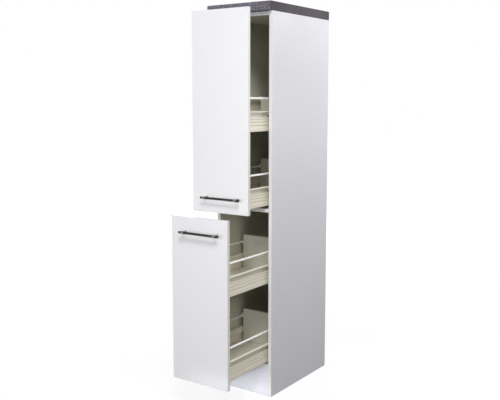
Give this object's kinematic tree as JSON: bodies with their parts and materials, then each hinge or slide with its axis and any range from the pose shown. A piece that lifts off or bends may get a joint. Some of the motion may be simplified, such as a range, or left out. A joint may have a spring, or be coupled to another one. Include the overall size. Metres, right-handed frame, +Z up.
{
  "type": "pull out larder unit",
  "caption": "Narrow tall kitchen cabinet with an upper and a lower front, each pulling out two metal-sided drawers with round rails on roller runners, under a worktop.",
  "frame": {"origin": "middle of the plinth board's bottom face, on the floor", "axes": "+Z up, +Y from the fronts towards the wall, +X to the right as one faces the fronts"},
  "size_m": [0.34, 0.8583, 1.7703],
  "materials": {
    "carcass_board": "white melamine-faced chipboard, fine grained matt",
    "front_lacquer": "smooth white foil-wrapped board, silk",
    "worktop_laminate": "dark grey stone-effect laminate, matt",
    "runner_steel": "cream powder coat",
    "drawer_steel": "cream powder coat over bent sheet",
    "rail_enamel": "white enamel, satin",
    "drawer_board": "pale grey-beige melamine, matt",
    "roller_nylon": "white moulded nylon",
    "handle_steel": "dark brushed steel bar on lighter nickel posts"
  },
  "bodies": {
    "carcass": {"side_panel_left": "carcass_board", "side_panel_right": "carcass_board", "bottom_panel": "carcass_board", "middle_shelf": "carcass_board", "top_panel": "carcass_board", "back_panel": "carcass_board", "plinth_board": "carcass_board", "worktop": "worktop_laminate", "cabinet_runner_1_left": "runner_steel", "cabinet_runner_1_right": "runner_steel", "cabinet_runner_2_left": "runner_steel", "cabinet_runner_2_right": "runner_steel", "cabinet_runner_3_left": "runner_steel", "cabinet_runner_3_right": "runner_steel", "cabinet_runner_4_left": "runner_steel", "cabinet_runner_4_right": "runner_steel"},
    "upper_pullout": {"drawer_1_base": "drawer_board", "drawer_1_back": "drawer_board", "drawer_1_side_left": "drawer_steel", "drawer_1_side_right": "drawer_steel", "drawer_1_rail_left": "rail_enamel", "drawer_1_rail_right": "rail_enamel", "drawer_2_base": "drawer_board", "drawer_2_back": "drawer_board", "drawer_2_side_left": "drawer_steel", "drawer_2_side_right": "drawer_steel", "drawer_2_rail_left": "rail_enamel", "drawer_2_rail_right": "rail_enamel", "upper_front": "front_lacquer", "upper_handle": "handle_steel"},
    "lower_pullout": {"drawer_3_base": "drawer_board", "drawer_3_back": "drawer_board", "drawer_3_side_left": "drawer_steel", "drawer_3_side_right": "drawer_steel", "drawer_3_rail_left": "rail_enamel", "drawer_3_rail_right": "rail_enamel", "drawer_4_base": "drawer_board", "drawer_4_back": "drawer_board", "drawer_4_side_left": "drawer_steel", "drawer_4_side_right": "drawer_steel", "drawer_4_rail_left": "rail_enamel", "drawer_4_rail_right": "rail_enamel", "lower_front": "front_lacquer", "lower_handle": "handle_steel"},
    "front_rollers_1": {"front_roller_1_left": "roller_nylon", "front_roller_1_right": "roller_nylon"},
    "rear_rollers_1": {"rear_roller_1_left": "roller_nylon", "rear_roller_1_right": "roller_nylon"},
    "front_rollers_2": {"front_roller_2_left": "roller_nylon", "front_roller_2_right": "roller_nylon"},
    "rear_rollers_2": {"rear_roller_2_left": "roller_nylon", "rear_roller_2_right": "roller_nylon"},
    "front_rollers_3": {"front_roller_3_left": "roller_nylon", "front_roller_3_right": "roller_nylon"},
    "rear_rollers_3": {"rear_roller_3_left": "roller_nylon", "rear_roller_3_right": "roller_nylon"},
    "front_rollers_4": {"front_roller_4_left": "roller_nylon", "front_roller_4_right": "roller_nylon"},
    "rear_rollers_4": {"rear_roller_4_left": "roller_nylon", "rear_roller_4_right": "roller_nylon"}
  },
  "joints": [
    {"name": "upper_slide", "type": "slide", "parent": "carcass", "child": "upper_pullout", "axis": [0, -1, 0], "range_m": [-0.162, 0.238]},
    {"name": "lower_slide", "type": "slide", "parent": "carcass", "child": "lower_pullout", "axis": [0, -1, 0], "range_m": [-0.31, 0.09]},
    {"name": "front_rollers_1_spin", "type": "hinge", "parent": "carcass", "child": "front_rollers_1", "pos_m": [0, 0.003, 1.2905], "axis": [1, 0, 0], "range_deg": [-1166, 1710]},
    {"name": "rear_rollers_1_spin", "type": "hinge", "parent": "upper_pullout", "child": "rear_rollers_1", "pos_m": [0, 0.292, 1.2836], "axis": [1, 0, 0], "range_deg": [-1243, 1824]},
    {"name": "front_rollers_2_spin", "type": "hinge", "parent": "carcass", "child": "front_rollers_2", "pos_m": [0, 0.003, 0.9595], "axis": [1, 0, 0], "range_deg": [-1166, 1710]},
    {"name": "rear_rollers_2_spin", "type": "hinge", "parent": "upper_pullout", "child": "rear_rollers_2", "pos_m": [0, 0.292, 0.9526], "axis": [1, 0, 0], "range_deg": [-1243, 1824]},
    {"name": "front_rollers_3_spin", "type": "hinge", "parent": "carcass", "child": "front_rollers_3", "pos_m": [0, 0.003, 0.604], "axis": [1, 0, 0], "range_deg": [-2226, 650]},
    {"name": "rear_rollers_3_spin", "type": "hinge", "parent": "lower_pullout", "child": "rear_rollers_3", "pos_m": [0, 0.144, 0.5971], "axis": [1, 0, 0], "range_deg": [-2374, 693]},
    {"name": "front_rollers_4_spin", "type": "hinge", "parent": "carcass", "child": "front_rollers_4", "pos_m": [0, 0.003, 0.2375], "axis": [1, 0, 0], "range_deg": [-2226, 650]},
    {"name": "rear_rollers_4_spin", "type": "hinge", "parent": "lower_pullout", "child": "rear_rollers_4", "pos_m": [0, 0.144, 0.2306], "axis": [1, 0, 0], "range_deg": [-2374, 693]}
  ],
  "couplings": [
    {"joint": "front_rollers_1_spin", "follows": "upper_slide", "rad_per_m": 125},
    {"joint": "rear_rollers_1_spin", "follows": "upper_slide", "rad_per_m": 133.33},
    {"joint": "front_rollers_2_spin", "follows": "upper_slide", "rad_per_m": 125},
    {"joint": "rear_rollers_2_spin", "follows": "upper_slide", "rad_per_m": 133.33},
    {"joint": "front_rollers_3_spin", "follows": "lower_slide", "rad_per_m": 125},
    {"joint": "rear_rollers_3_spin", "follows": "lower_slide", "rad_per_m": 133.33},
    {"joint": "front_rollers_4_spin", "follows": "lower_slide", "rad_per_m": 125},
    {"joint": "rear_rollers_4_spin", "follows": "lower_slide", "rad_per_m": 133.33}
  ]
}
